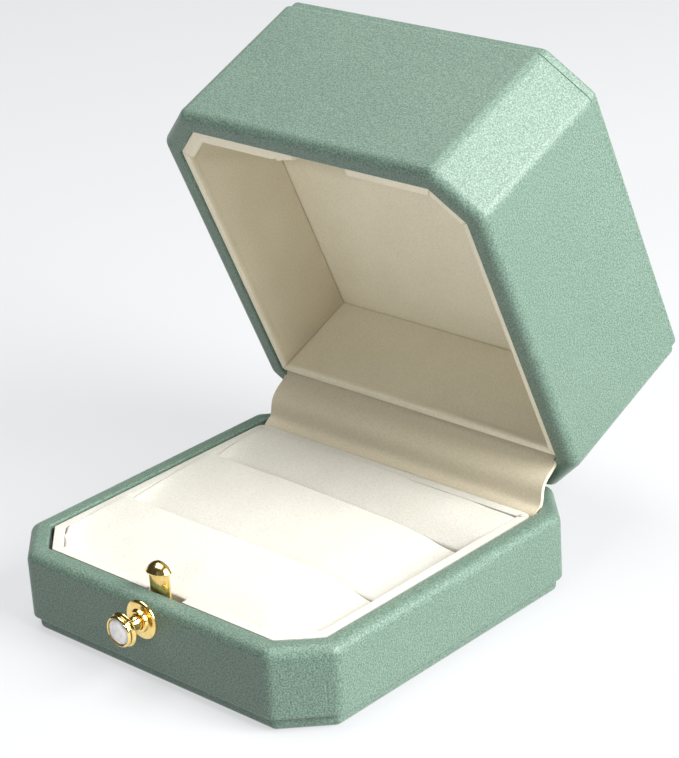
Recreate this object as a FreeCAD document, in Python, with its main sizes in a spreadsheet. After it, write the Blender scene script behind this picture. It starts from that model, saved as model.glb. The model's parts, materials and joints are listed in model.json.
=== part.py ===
"""Octagonal ring box with a sprung lid and a push-button catch.

Frame: +Z up, origin at the centre of the underside, front of the box towards -Y, millimetres.
The lid is drawn closed, then turned open about the hinge axis, which is how the box rests.
"""
import FreeCAD, Part
import math
import os
import re

import Sketcher
from FreeCAD import Placement, Rotation, Vector

doc = FreeCAD.newDocument("ring_box")

# ---------------------------------------------------------------- driving dimensions

SIZES = [
    # outer form
    ("box_half", 37.5, "half the width and half the depth of the box"),
    ("bevel_leg", 8.3, "leg of each bevelled corner"),
    ("flat_share", 0.414214, "tangent of 22.5 degrees, how much a parallel outline's flat shortens"),
    ("edge_round", 2.4, "rounding of the upright edges"),
    ("shoulder_round", 1.9, "rounding of the padded rims"),
    ("fold_round", 0.6, "rounding where leatherette folds over a thick edge"),
    ("crease_round", 0.4, "rounding where leatherette folds over a thin edge"),
    ("seam", 0.35, "height of the shadow groove between a plate and the wall beside it"),
    ("seam_depth", 1.6, "how far that groove goes in behind the plate's edge"),
    # base
    ("plate_height", 2.2, "height of the bottom plate"),
    ("plate_inset", 1.1, "how far the bottom plate stands back"),
    ("plate_round", 1.1, "rounding of the bottom plate's foot"),
    ("tray_low", 2.55, "underside of the base's tray, which is the groove above the plate"),
    ("rim_height", 15.6, "top of the base's rim"),
    ("rim_width", 3.7, "width of the base's rim"),
    ("cover_thick", 0.8, "leatherette with its backing foam"),
    ("wrap_thick", 0.6, "thin leatherette on the two plates"),
    ("base_wall", 2.1, "wall of the base shell"),
    ("floor_thick", 1.6, "floor of the base shell"),
    ("turn_down", 3.4, "how far the leatherette turns down inside a rim"),
    # lid, drawn closed
    ("lid_gap", 0.3, "gap between the two closed rims"),
    ("lid_top", 48.1, "top of the lid's walls"),
    ("lid_rim", 4.0, "width of the lid's rim"),
    ("lid_wall", 2.4, "wall of the lid shell"),
    ("lid_roof", 2.0, "thickness of the lid shell's top"),
    ("crown_inset", 0.6, "how far the top plate stands back"),
    ("crown_top", 50.2, "top of the top plate"),
    ("ceiling", 35.5, "height of the velvet ceiling"),
    ("card", 1.0, "thickness of a velvet covered card"),
    ("liner_low", 16.2, "lower edge of the lid's liner cards"),
    ("liner_rear", 26.5, "front face of the lid's rear liner card"),
    # insert with the ring pads
    ("lip_inset", 4.2, "outer face of the velvet lip"),
    ("lip_thick", 1.9, "thickness of the velvet lip"),
    ("lip_top", 15.2, "top of the velvet lip"),
    ("insert_rear", 26.4, "rear face of the velvet lip"),
    ("board_low", 6.9, "underside of the insert board"),
    ("board_thick", 0.8, "thickness of the insert board"),
    ("pad_gap", 0.1, "clearance between a pad and the lip"),
    ("slot_front", -10.8, "middle of the front ring slot"),
    ("slot_rear", 11.3, "middle of the rear ring slot"),
    ("slot_half", 0.2, "half the width of a ring slot"),
    ("crest", 15.9, "crest of a ring pad"),
    # hinge
    ("axis_y", 36.3, "hinge axis"),
    ("axis_z", 15.75, "hinge axis"),
    ("open_angle", 67.0, "angle that the lid opens to"),
    ("hinge_half", 20.0, "half the length of the hinge"),
    ("leaf_thick", 0.6, "thickness of a hinge leaf"),
    ("leaf_drop", 8.0, "height of a hinge leaf"),
    ("barrel_radius", 1.15, "outside of a knuckle"),
    ("pin_radius", 0.55, "hinge pin"),
    ("coil_radius", 0.86, "middle of the spring wire's turns"),
    ("wire_radius", 0.14, "spring wire"),
    ("rivet_radius", 0.8, "shank of a hinge rivet"),
    ("rivet_pitch", 12.0, "distance between two hinge rivets"),
    ("rivet_rise", 5.7, "height of the hinge rivets above or below the hinge axis"),
    ("rivet_head", 1.5, "radius of a hinge rivet's head"),
    ("fit_gap", 0.02, "clearance of a rivet in its hole"),
    ("notch_gap", 0.6, "clearance at each end of the hinge"),
    ("strip_thick", 0.7, "velvet strip over the hinge"),
    ("strip_half", 31.2, "half the length of the velvet strip"),
    # catch
    ("button_z", 12.0, "height of the button's axis"),
    ("flange_radius", 3.6, "escutcheon flange"),
    ("flange_thick", 0.6, "escutcheon flange"),
    ("sleeve_radius", 2.2, "outside of the escutcheon's sleeve"),
    ("stem_radius", 1.3, "button stem"),
    ("bezel_radius", 3.15, "button bezel"),
    ("crystal_radius", 2.3, "crystal in the button"),
    ("button_front", -43.1, "front of the bezel"),
    ("pivot_y", -32.6, "pivot of the hook"),
    ("pivot_z", 6.4, "pivot of the hook"),
    ("pivot_radius", 0.5, "pin of the hook"),
    ("hook_face", -33.4, "front face of the hook's strip"),
    ("hook_thick", 0.9, "thickness of the hook's strip"),
    ("hook_half", 2.45, "half the width of the hook's strip"),
    ("hook_catch", 19.0, "underside of the hook's head"),
    ("head_radius", 2.6, "hook's head seen from the front"),
    ("head_high", 1.9, "height of the hook's head"),
    ("head_room", 3.4, "half the width of the lid's pocket for the hook"),
    ("pin_shank", 0.5, "shank of a catch rivet"),
    ("pin_hole", 0.52, "hole of a catch rivet"),
    ("bracket_rivet_side", 3.6, "catch rivets of the bracket, to each side of the middle"),
    ("bracket_rivet_up", 9.2, "height of the bracket's rivets"),
    ("keeper_rivet_side", 4.7, "rivets of the keeper, to each side of the middle"),
    ("keeper_rivet_up", 19.2, "height of the keeper's rivets"),
    ("keeper_half", 6.0, "half the width of the keeper"),
    ("keeper_thick", 0.7, "thickness of the keeper"),
    ("bracket_half", 4.9, "half the width of the catch bracket"),
    ("bracket_thick", 0.5, "thickness of the catch bracket"),
    ("ear_side", 3.2, "inner face of each ear of the bracket"),
    ("hook_side_room", 3.2, "room beside the hook on its right, where the frame is cut back"),
]

sheet = doc.addObject("Spreadsheet::Sheet", "sizes")
for row, (alias, number, meaning) in enumerate(SIZES, start=1):
    sheet.set("A%d" % row, meaning)
    sheet.set("B%d" % row, str(number))
    sheet.setAlias("B%d" % row, alias)
doc.recompute()
ALIASES = {alias for alias, number, meaning in SIZES}


def bound(text):
    """An expression with each alias spelled out as a cell of the sheet."""
    return re.sub(r"[a-z_]+", lambda word: "sizes." + word[0] if word[0] in ALIASES else word[0], str(text))


def value(text):
    """The number that an expression stands for now."""
    return float(sheet.evalExpression(bound(text)))


# ---------------------------------------------------------------- outlines

def octagon(inset):
    """Corners of the box's outline, moved in by inset, from the front left round to the left."""
    half = "(box_half - (%s))" % inset
    flat = "(box_half - bevel_leg - (%s) * flat_share)" % inset
    return [("-" + flat, "-" + half), (flat, "-" + half), (half, "-" + flat), (half, flat),
            (flat, half), ("-" + flat, half), ("-" + half, flat), ("-" + half, "-" + flat)]


def insert_outline(inset, rear):
    """Outline with the two front corners bevelled and the two rear corners square."""
    corners = octagon(inset)
    half = corners[2][0]
    return corners[:3] + [(half, rear), ("-" + half, rear), corners[7]]


def inset_of(point):
    """How far a point lies inside the box's outer outline."""
    half = value("box_half")
    flat_side = half - max(abs(point.x), abs(point.y))
    bevel_side = (2 * half - value("bevel_leg") - abs(point.x) - abs(point.y)) / math.sqrt(2)
    return min(flat_side, bevel_side)


# ---------------------------------------------------------------- bodies and their features

def new_body(name):
    body = doc.addObject("PartDesign::Body", name)
    body.Label = name
    return body


def origin_feature(body, role):
    return next(feature for feature in body.Origin.OriginFeatures if feature.Role == role)


def outline_sketch(body, name, plane, corners, lift):
    """A closed outline on an origin plane of the body, each corner bound to the sheet."""
    sketch = body.newObject("Sketcher::SketchObject", name)
    sketch.AttachmentSupport = (origin_feature(body, plane), [""])
    sketch.MapMode = "FlatFace"
    sketch.setExpression("AttachmentOffset.Base.z", bound(lift))
    places = [Vector(value(across), value(along), 0) for across, along in corners]
    count = len(places)
    for k in range(count):
        sketch.addGeometry(Part.LineSegment(places[k], places[(k + 1) % count]))
    for k in range(count):
        sketch.addConstraint(Sketcher.Constraint("Coincident", k, 2, (k + 1) % count, 1))
    for k, (across, along) in enumerate(corners):
        bind_corner(sketch, k, "DistanceX", "x%d" % k, across, -2)
        bind_corner(sketch, k, "DistanceY", "y%d" % k, along, -1)
    return sketch


def bind_corner(sketch, line, kind, label, text, axis):
    """Ties the start of a line to the sheet, or to the sketch's axis where the distance is zero."""
    if abs(value(text)) < 1e-9:
        sketch.addConstraint(Sketcher.Constraint("PointOnObject", line, 1, axis))
        return
    number = sketch.addConstraint(Sketcher.Constraint(kind, -1, 1, line, 1, value(text)))
    sketch.renameConstraint(number, label)
    sketch.setExpression("Constraints." + label, bound(text))


def pad(body, name, corners, low, high):
    """A prism on the outline from the height low to the height high."""
    sketch = outline_sketch(body, name + "_outline", "XY_Plane", corners, low)
    feature = body.newObject("PartDesign::Pad", name)
    feature.Profile = sketch
    feature.setExpression("Length", bound("(%s) - (%s)" % (high, low)))
    doc.recompute()
    return feature


def side_pad(body, name, corners, half_width):
    """A prism across the box, on an outline of depth and height."""
    sketch = outline_sketch(body, name + "_outline", "YZ_Plane", corners, "0")
    feature = body.newObject("PartDesign::Pad", name)
    feature.Profile = sketch
    feature.SideType = "Symmetric"
    feature.setExpression("Length", bound("2 * (%s)" % half_width))
    doc.recompute()
    return feature


def pocket(body, name, corners, low, high):
    """Cuts the outline away from the height high down to the height low."""
    before = body.Shape.Volume
    sketch = outline_sketch(body, name + "_outline", "XY_Plane", corners, high)
    feature = body.newObject("PartDesign::Pocket", name)
    feature.Profile = sketch
    feature.Reversed = False
    feature.setExpression("Length", bound("(%s) - (%s)" % (high, low)))
    doc.recompute()
    if body.Shape.Volume > before - 1e-6:
        raise RuntimeError(name + " cuts nothing")
    return feature


def fillet(body, name, radius, wanted):
    """Rounds the edges of the body's last feature that wanted() picks."""
    base = body.Tip
    edges = ["Edge%d" % (k + 1) for k, edge in enumerate(base.Shape.Edges) if wanted(edge)]
    feature = body.newObject("PartDesign::Fillet", name)
    feature.Base = (base, edges)
    feature.setExpression("Radius", bound(radius))
    doc.recompute()
    return feature


def middle(edge):
    return edge.valueAt((edge.FirstParameter + edge.LastParameter) / 2)


def upright(edge):
    return abs(edge.BoundBox.XLength) < 1e-6 and abs(edge.BoundBox.YLength) < 1e-6


def level_at(height, inset):
    """A test for the level edges at one height whose outline is inset by about that much."""
    def test(edge):
        level = edge.BoundBox.ZLength < 1e-6 and abs(edge.BoundBox.ZMin - value(height)) < 1e-6
        return level and abs(inset_of(middle(edge)) - value(inset)) < 0.45
    return test


def turned(body, name, corners, axis_role, plane="YZ_Plane"):
    """A solid of revolution about one of the body's own axes."""
    sketch = outline_sketch(body, name + "_outline", plane, corners, "0")
    feature = body.newObject("PartDesign::Revolution", name)
    feature.Profile = sketch
    feature.ReferenceAxis = (origin_feature(body, axis_role), [""])
    feature.Angle = 360
    doc.recompute()
    return feature


# ---------------------------------------------------------------- primitives and booleans

def block(name, low, high):
    """A box between two corners given as expressions."""
    box = doc.addObject("Part::Box", name)
    for side, first, last in zip(("Length", "Width", "Height"), low, high):
        box.setExpression(side, bound("(%s) - (%s)" % (last, first)))
    for axis, first in zip("xyz", low):
        box.setExpression("Placement.Base." + axis, bound(first))
    return box


def rod(name, axis, radius, start, length):
    """A cylinder from start along an axis of the frame."""
    angle = {"x": "vector(0; 1; 0); 90", "y": "vector(1; 0; 0); -90", "z": "vector(0; 0; 1); 0"}[axis]
    cylinder = doc.addObject("Part::Cylinder", name)
    cylinder.setExpression("Radius", bound(radius))
    cylinder.setExpression("Height", bound(length))
    place = "placement(vector(%s; %s; %s); rotation(%s))" % (*start, angle)
    cylinder.setExpression("Placement", bound(place))
    return cylinder


def fuse(name, shapes):
    joined = doc.addObject("Part::MultiFuse", name)
    joined.Shapes = shapes
    joined.Label = name
    return joined


def cut(name, base, tools):
    """The base less all of the tools."""
    result = doc.addObject("Part::Cut", name)
    result.Base = base
    result.Tool = tools[0] if len(tools) == 1 else fuse(name + "_tools", tools)
    result.Label = name
    return result


def group(name, shapes):
    """Separate solids kept side by side in one node."""
    bundle = doc.addObject("Part::Compound", name)
    bundle.Links = shapes
    bundle.Label = name
    return bundle


# ---------------------------------------------------------------- base

FRONT_HOLE = ("0", "-box_half - 1", "button_z")
FLOOR_TOP = "tray_low + floor_thick"
BASE_RIVET_UP = "axis_z - rivet_rise"
LID_RIVET_UP = "axis_z + rivet_rise"


def base_plate():
    """Wrapped board under the base, set back a little below a shadow groove."""
    cover = new_body("plate_block")
    pad(cover, "plate_outer", octagon("plate_inset"), "0", "plate_height")
    fillet(cover, "plate_edges", "edge_round * 0.6", upright)
    fillet(cover, "plate_foot", "plate_round", level_at("0", "plate_inset"))
    board = new_body("base_plate_board")
    pad(board, "board_outer", octagon("plate_inset + wrap_thick"), "wrap_thick", "plate_height")
    fillet(board, "board_edges", "edge_round * 0.4", upright)
    board_edge = "plate_inset + wrap_thick"
    fillet(board, "board_foot", "plate_round - wrap_thick", level_at("wrap_thick", board_edge))
    return [cut("base_plate_cover", cover, [board]), board]


def base_shell_form():
    """Moulded tray: eight walls, a floor and a foot that stands on the bottom plate."""
    shell = new_body("base_shell_form")
    top = "rim_height - cover_thick"
    inner = "cover_thick + base_wall"
    pad(shell, "shell_walls", octagon("cover_thick"), "tray_low", top)
    fillet(shell, "shell_edges", "edge_round - cover_thick", upright)
    fillet(shell, "shell_shoulder", "shoulder_round - cover_thick", level_at(top, "cover_thick"))
    pad(shell, "shell_foot", octagon("plate_inset + seam_depth"), "tray_low - seam", "tray_low")
    pocket(shell, "shell_hollow", octagon(inner), FLOOR_TOP, top)
    return shell


def base_cover_block():
    """Outer surface of the leatherette before the shell inside it is taken away."""
    cover = new_body("base_cover_block")
    pad(cover, "cover_outer", octagon("0"), "tray_low", "rim_height")
    fillet(cover, "cover_edges", "edge_round", upright)
    fillet(cover, "cover_shoulder", "shoulder_round", level_at("rim_height", "0"))
    fillet(cover, "cover_foot", "fold_round", level_at("tray_low", "0"))
    pocket(cover, "cover_mouth", octagon("rim_width"), "tray_low", "rim_height")
    fillet(cover, "cover_lip", "crease_round", level_at("rim_height", "rim_width"))
    return cover


def base_openings(tag):
    """What is cut through the base's walls for the hinge and for the button."""
    notch = block(tag + "_hinge_notch",
                  ("-hinge_half - notch_gap", "box_half - rim_width - 0.4", "axis_z - barrel_radius - 0.1"),
                  ("hinge_half + notch_gap", "box_half + 1", "rim_height + 1"))
    hole = rod(tag + "_button_hole", "y", "sleeve_radius + 0.02", FRONT_HOLE, "rim_width + 2")
    return [notch, hole]


def base_casing():
    form = base_shell_form()
    rivet_holes = [rod("base_rivet_hole_%d" % k, "y", "rivet_radius + fit_gap",
                       ("%d * rivet_pitch" % k, "box_half - rim_width", BASE_RIVET_UP), "2.6")
                   for k in (-1, 0, 1)]
    catch_holes = [rod("catch_rivet_hole_%d" % k, "y", "pin_hole",
                       ("%d * bracket_rivet_side" % k, "cover_thick - box_half + 0.3", "bracket_rivet_up"),
                       "2.6") for k in (-1, 1)]
    shell = cut("base_shell", form, base_openings("shell") + rivet_holes + catch_holes)
    below = new_body("cover_below_turn")
    pad(below, "below_turn", octagon("cover_thick + base_wall"), "plate_height - 1", "rim_height - turn_down")
    leaf_relief = block("cover_leaf_relief",
                        ("-hinge_half - notch_gap", "box_half - rim_width - 0.2", "rim_height - 5"),
                        ("hinge_half + notch_gap", "box_half - cover_thick - base_wall + 0.1",
                         "rim_height - cover_thick"))
    skin = cut("base_cover", base_cover_block(), [form, below, leaf_relief] + base_openings("cover"))
    return [shell, skin]


def insert_frame():
    """Velvet covered card lip round the pads, with a gap at the front for the hook."""
    foot = FLOOR_TOP
    frame = new_body("lip_frame")
    pad(frame, "lip_outer", insert_outline("lip_inset", "insert_rear"), foot, "lip_top")
    inner = insert_outline("lip_inset + lip_thick", "insert_rear - lip_thick")
    pocket(frame, "lip_inner", inner, foot, "lip_top")
    at_top = lambda edge: edge.BoundBox.ZMin > value("lip_top") - 1e-6
    fillet(frame, "lip_crown", "lip_thick * 0.35", at_top)
    hook_gap = block("lip_hook_gap", ("-hook_half - 0.5", "-box_half", foot + " - 1"),
                     ("hook_half + hook_side_room", "-box_half + 8", "lip_top + 1"))
    catch_gap = block("lip_catch_gap", ("-hook_half - 3", "-box_half", foot + " - 1"),
                      ("hook_half + hook_side_room", "-box_half + 8", "button_z - 1"))
    lip = cut("insert_lip", frame, [hook_gap, catch_gap])

    board = new_body("board_blank")
    inset = "lip_inset + lip_thick"
    pad(board, "board_blank_pad", insert_outline(inset, "insert_rear - lip_thick"),
        "board_low", "board_low + board_thick")
    relief = block("board_relief", ("-hook_half - 3", "-box_half", "board_low - 1"),
                   ("hook_half + hook_side_room", "hook_face + 3.2", "board_low + 2"))
    return [lip, cut("insert_board", board, [relief])]


def ring_pad(name, profile, outline, relief):
    """A foam bar wrapped in velvet: a rounded profile of depth and height, trimmed to an outline."""
    bar = new_body(name + "_bar")
    side_pad(bar, name + "_profile", profile, "box_half")
    trim = new_body(name + "_trim")
    pad(trim, name + "_plan", outline, "board_low", "rim_height + 4")
    if not relief:
        pad_shape = doc.addObject("Part::Common", name)
        pad_shape.Base = bar
        pad_shape.Tool = trim
        pad_shape.Label = name
        return pad_shape
    rough = doc.addObject("Part::Common", name + "_rough")
    rough.Base = bar
    rough.Tool = trim
    return cut(name, rough, relief)


def pad_profile(front, rear, front_height):
    """A low front edge that swells to a crest just before the slot behind it."""
    floor = "board_low + board_thick"
    length = "((%s) - (%s))" % (rear, front)
    return [(front, floor),
            (rear, floor),
            (rear, "crest - 1.4"),
            ("%s - 0.5" % rear, "crest - 0.4"),
            ("%s - 1.5" % rear, "crest"),
            ("%s + %s * 0.7" % (front, length), "crest - 0.2"),
            ("%s + %s * 0.4" % (front, length), "crest - 1.0"),
            ("%s + %s * 0.15" % (front, length), "crest - 2.0"),
            (front, front_height)]


def ring_pads():
    clear = "lip_inset + lip_thick + pad_gap"
    front_face = "%s - box_half" % clear
    rear_face = "insert_rear - lip_thick - pad_gap"
    outline = insert_outline(clear, rear_face)
    relief = block("pad_hook_relief", ("-hook_half - 0.8", "-box_half", "board_low"),
                   ("hook_half + 0.8", "hook_face + 3.0", "rim_height + 5"))
    return [
        ring_pad("ring_pad_front", pad_profile(front_face, "slot_front - slot_half", "crest - 2.9"),
                 outline, [relief]),
        ring_pad("ring_pad_middle", pad_profile("slot_front + slot_half", "slot_rear - slot_half",
                                                "crest - 2.9"), outline, []),
        ring_pad("ring_pad_rear", pad_profile("slot_rear + slot_half", rear_face, "crest - 2.9"),
                 outline, []),
    ]


# ---------------------------------------------------------------- catch, on the base's front wall

def escutcheon():
    """Round flange on the front with a sleeve through the wall, which guides the stem."""
    body = new_body("latch_escutcheon")
    face = "-box_half"
    bore = "stem_radius + 0.08"
    wall = "rim_width - cover_thick - 0.1"
    turned(body, "escutcheon", [
        (face + " - flange_thick", bore),
        (face + " - flange_thick", "flange_radius - 0.7"),
        (face + " - flange_thick * 0.35", "flange_radius"),
        (face, "flange_radius"),
        (face, "sleeve_radius"),
        ("%s + %s" % (face, wall), "sleeve_radius"),
        ("%s + %s" % (face, wall), bore)], "Y_Axis")
    body.setExpression("Placement.Base.z", bound("button_z"))
    return body


def latch_bracket():
    """Stamped bracket on the inside of the front wall; its two ears hold the hook's pin."""
    back = "-box_half + cover_thick + base_wall"
    foot = FLOOR_TOP + " + 0.1"
    plate = block("bracket_plate", ("-bracket_half", back, foot),
                  ("bracket_half", back + " + bracket_thick", "button_z - 1.9"))
    ears = [block("bracket_ear_%d" % side, (low, back, foot), (high, "pivot_y + 1.4", "pivot_z + 1.2"))
            for side, low, high in ((0, "-ear_side - bracket_thick", "-ear_side"),
                                    (1, "ear_side", "ear_side + bracket_thick"))]
    solid = fuse("bracket_solid", [plate] + ears)
    pin_hole = rod("bracket_pin_hole", "x", "pivot_radius + 0.01", ("-6", "pivot_y", "pivot_z"), "12")
    places = {k: "%d * bracket_rivet_side" % k for k in (-1, 1)}
    rivet_holes = [rod("bracket_rivet_hole_%d" % k, "y", "pin_hole",
                       (place, back + " - 1", "bracket_rivet_up"), "3") for k, place in places.items()]
    bracket = cut("latch_bracket", solid, [pin_hole] + rivet_holes)

    rivets = []
    for k, place in places.items():
        head = rod("catch_rivet_head_%d" % k, "y", "pin_shank + 0.45",
                   (place, back + " + bracket_thick", "bracket_rivet_up"), "0.35")
        shank = rod("catch_rivet_shank_%d" % k, "y", "pin_shank",
                    (place, back + " - 1.5", "bracket_rivet_up"), "2.1")
        rivets.append(fuse("catch_rivet_%d" % k, [head, shank]))
    pin = rod("hook_pivot_pin", "x", "pivot_radius", ("-ear_side - 0.9", "pivot_y", "pivot_z"),
              "2 * ear_side + 1.8")
    return [bracket, group("latch_bracket_rivets", rivets), pin]


def hook_spring():
    """Leaf spring that stands on the floor of the shell and presses the hook forward."""
    body = new_body("hook_spring")
    foot = FLOOR_TOP
    back = "hook_face + hook_thick"
    side_pad(body, "spring_strip", [
        ("%s + 1.6" % back, foot),
        ("%s + 4.6" % back, foot),
        ("%s + 4.6" % back, foot + " + 0.25"),
        ("%s + 1.85" % back, foot + " + 0.25"),
        ("%s + 0.3" % back, foot + " + 5.7"),
        ("%s + 0.05" % back, foot + " + 5.7")], "1.2")
    return body


def button():
    """Stem, clip, bezel and crystal, which travel together."""
    stem = new_body("button_stem")
    inner_end = "hook_face - 0.1"
    outer_end = "button_front + 1.2"
    groove = "cover_thick + base_wall - box_half"
    turned(stem, "stem", [
        (outer_end, "0"),
        (outer_end, "stem_radius"),
        (groove + " + 0.05", "stem_radius"),
        (groove + " + 0.05", "stem_radius - 0.3"),
        (groove + " + 0.35", "stem_radius - 0.3"),
        (groove + " + 0.35", "stem_radius - 0.15"),
        (inner_end, "stem_radius - 0.9"),
        (inner_end, "0")], "Y_Axis")
    clip = new_body("stem_clip")
    turned(clip, "clip", [
        (groove + " + 0.05", "stem_radius - 0.28"),
        (groove + " + 0.05", "stem_radius + 0.5"),
        (groove + " + 0.35", "stem_radius + 0.5"),
        (groove + " + 0.35", "stem_radius - 0.28")], "Y_Axis")
    bezel = new_body("button_bezel")
    turned(bezel, "bezel", [
        ("button_front + 1.2", "0"),
        ("button_front + 0.9", "0"),
        ("button_front + 0.9", "crystal_radius + 0.03"),
        ("button_front", "crystal_radius + 0.03"),
        ("button_front", "bezel_radius - 0.5"),
        ("button_front + 0.3", "bezel_radius - 0.1"),
        ("button_front + 0.8", "bezel_radius - 0.1"),
        ("button_front + 0.95", "bezel_radius - 0.45"),
        ("button_front + 1.1", "bezel_radius"),
        ("button_front + 1.6", "bezel_radius"),
        ("button_front + 1.9", "bezel_radius - 0.4"),
        ("button_front + 1.9", "stem_radius + 0.01"),
        ("button_front + 1.2", "stem_radius + 0.01")], "Y_Axis")
    crystal = new_body("button_crystal")
    turned(crystal, "crystal", [
        ("button_front + 0.9", "0"),
        ("button_front + 0.9", "crystal_radius"),
        ("button_front - 0.05", "crystal_radius"),
        ("button_front - 0.5", "crystal_radius * 0.6"),
        ("button_front - 0.5", "0")], "Y_Axis")
    pieces = [stem, clip, bezel, crystal]
    for piece in pieces:
        piece.setExpression("Placement.Base.z", bound("button_z"))
    return pieces


def latch_hook():
    """Upright strip on a pivot, with a domed head whose front lip catches on the lid."""
    strip = block("hook_strip", ("-hook_half", "hook_face", "pivot_z"),
                  ("hook_half", "hook_face + hook_thick", "hook_catch"))
    knuckle = rod("hook_knuckle", "x", "0.9", ("-hook_half", "pivot_y", "pivot_z"), "2 * hook_half")
    dome = new_body("hook_dome")
    turned(dome, "dome", [
        ("0", "hook_catch"),
        ("head_radius", "hook_catch"),
        ("head_radius", "hook_catch + 0.45"),
        ("head_radius * 0.9", "hook_catch + head_high * 0.45"),
        ("head_radius * 0.66", "hook_catch + head_high * 0.76"),
        ("head_radius * 0.34", "hook_catch + head_high * 0.95"),
        ("0", "hook_catch + head_high")], "Z_Axis", "XZ_Plane")
    dome.setExpression("Placement.Base.y", bound("hook_face + 0.1"))
    slab = block("hook_slab", ("-head_radius - 1", "hook_face - 1.2", "hook_catch - 1"),
                 ("head_radius + 1", "hook_face + hook_thick + 0.5", "hook_catch + head_high + 1"))
    head = doc.addObject("Part::Common", "hook_head")
    head.Base = dome
    head.Tool = slab
    solid = fuse("hook_solid", [strip, knuckle, head])
    bore = rod("hook_bore", "x", "pivot_radius + 0.05", ("-5", "pivot_y", "pivot_z"), "10")
    return cut("latch_hook", solid, [bore])


# ---------------------------------------------------------------- hinge

BASE_KNUCKLES = [("-hinge_half", "-14"), ("-3", "3"), ("14", "hinge_half")]
LID_KNUCKLES = [("-13.8", "-8.2"), ("8.2", "13.8")]


def hinge_leaf(name, knuckles, wall_face, low, high, flange_low, bore, rivet_up):
    """A plate against the wall, a flange over the rim at each knuckle, and the knuckles."""
    plate = block(name + "_plate", ("-hinge_half", wall_face + " - leaf_thick", low),
                  ("hinge_half", wall_face, high))
    parts = [plate]
    for k, (first, last) in enumerate(knuckles):
        parts.append(block("%s_flange_%d" % (name, k), (first, wall_face + " - leaf_thick", flange_low),
                           (last, "axis_y", flange_low + " + leaf_thick")))
        parts.append(rod("%s_knuckle_%d" % (name, k), "x", "barrel_radius", (first, "axis_y", "axis_z"),
                         "(%s) - (%s)" % (last, first)))
    solid = fuse(name + "_solid", parts)
    tools = [rod(name + "_bore", "x", bore, ("-hinge_half - 1", "axis_y", "axis_z"), "2 * hinge_half + 2")]
    tools += [rod("%s_hole_%d" % (name, k), "y", "rivet_radius + fit_gap",
                  ("%d * rivet_pitch" % k, wall_face + " - 2", rivet_up), "4") for k in (-1, 0, 1)]
    return cut(name, solid, tools)


def hinge_rivets(name, wall_face, rivet_up):
    rivets = []
    for k in (-1, 0, 1):
        place = "%d * rivet_pitch" % k
        head = rod("%s_head_%d" % (name, k), "y", "rivet_head",
                   (place, wall_face + " - leaf_thick - 0.5", rivet_up), "0.5")
        shank = rod("%s_shank_%d" % (name, k), "y", "rivet_radius",
                    (place, wall_face + " - leaf_thick", rivet_up), "leaf_thick + 1.5")
        rivets.append(fuse("%s_rivet_%d" % (name, k), [head, shank]))
    return group(name, rivets)


def hinge_spring(start):
    """Torsion spring on the pin: a coil with one leg that reaches along each leaf."""
    length = 4.4
    leg = 1.6
    radius = value("coil_radius")
    wire = value("wire_radius")
    sweep = 180 - value("open_angle")
    pitch = length / (7 + sweep / 360)
    end_angle = math.radians(sweep)
    coil_end = Vector(radius * math.cos(end_angle), radius * math.sin(end_angle), length)
    onward = Vector(-math.sin(end_angle), math.cos(end_angle), 0)
    section = Part.Wire(Part.makeCircle(wire, Vector(radius, 0, 0), Vector(0, 1, 0)))
    coil = Part.Wire(Part.makeHelix(pitch, length, radius).Edges).makePipeShell([section], True, True)
    first_leg = Part.makeCylinder(wire, leg, Vector(radius, -leg, 0), Vector(0, 1, 0))
    last_leg = Part.makeCylinder(wire, leg, coil_end, onward)
    spring = coil.fuse([first_leg, last_leg]).Solids[0]
    place = Vector(start, value("axis_y"), value("axis_z"))
    spring.Placement = Placement(place, Rotation(Vector(0, 1, 0), 90))
    return spring


def hinge_springs():
    """Both torsion springs, read from the sheet because a helix has no bound outline."""
    feature = doc.addObject("Part::Feature", "hinge_springs")
    feature.Label = "hinge_springs"
    feature.Shape = Part.makeCompound([hinge_spring(-7.8), hinge_spring(3.4)])
    return feature


def opened(point):
    """Where a place on the closed lid goes when the lid is open."""
    turn = math.radians(value("open_angle"))
    across = point[0] - value("axis_y")
    up = point[1] - value("axis_z")
    return (value("axis_y") + across * math.cos(turn) + up * math.sin(turn),
            value("axis_z") - across * math.sin(turn) + up * math.cos(turn))


def hinge_cover():
    """Velvet strip over the hinge: from behind the pads, out over the gap and in behind the lid's liner."""
    behind_pads = value("insert_rear") + 0.6
    behind_liner = value("liner_rear") + value("card") + 0.5
    on_base = [(behind_pads, 9.0), (behind_pads, 14.3), (29.0, 15.3), (29.7, 19.2)]
    on_closed_lid = [(30.0, 15.45), (behind_liner, 16.6), (behind_liner, 22.0)]
    route = on_base + [opened(bend) for bend in on_closed_lid]
    outline = band(route, value("strip_thick") / 2)
    half_width = value("strip_half")
    wire = Part.makePolygon([Vector(-half_width, y, z) for y, z in outline + outline[:1]])
    feature = doc.addObject("Part::Feature", "hinge_cover")
    feature.Label = "hinge_cover"
    feature.Shape = Part.Face(wire).extrude(Vector(2 * half_width, 0, 0))
    return feature


def band(route, half_thick):
    """Outline of a strip of even thickness along a route, mitred at its bends."""
    left, right = [], []
    for k, (y, z) in enumerate(route):
        before = route[max(k - 1, 0)]
        after = route[min(k + 1, len(route) - 1)]
        arriving = math.atan2(z - before[1], y - before[0]) if k else None
        leaving = math.atan2(after[1] - z, after[0] - y) if k < len(route) - 1 else arriving
        arriving = leaving if arriving is None else arriving
        bend = (leaving - arriving) / 2
        reach = half_thick / math.cos(bend)
        normal = arriving + bend + math.pi / 2
        left.append((y + reach * math.cos(normal), z + reach * math.sin(normal)))
        right.append((y - reach * math.cos(normal), z - reach * math.sin(normal)))
    return left + right[::-1]


# ---------------------------------------------------------------- lid, drawn closed

LID_LOW = "rim_height + lid_gap"


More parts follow.
